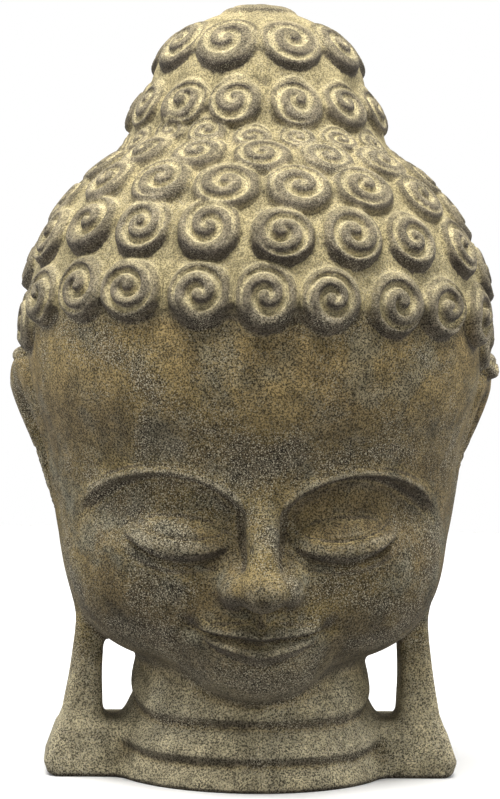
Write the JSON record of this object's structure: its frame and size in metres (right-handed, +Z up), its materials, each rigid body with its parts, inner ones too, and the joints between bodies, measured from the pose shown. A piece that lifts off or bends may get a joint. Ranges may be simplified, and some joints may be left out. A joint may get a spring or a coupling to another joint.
{
  "type": "buddha head",
  "caption": "Cast-stone head ornament with snail-shell curls, two-tier crown bun, long pierced ear lobes and a flat flared neck foot.",
  "frame": {"origin": "centre of the overall box, on the flat underside of the neck foot", "axes": "+Z up through the crown, -Y the way the face looks, +X to the head's left ear"},
  "size_m": [0.2744, 0.2584, 0.4236],
  "materials": {
    "cast_stone": "matt, weathered cast stone"
  },
  "bodies": {
    "root": {"buddha_head": "cast_stone"}
  },
  "joints": []
}
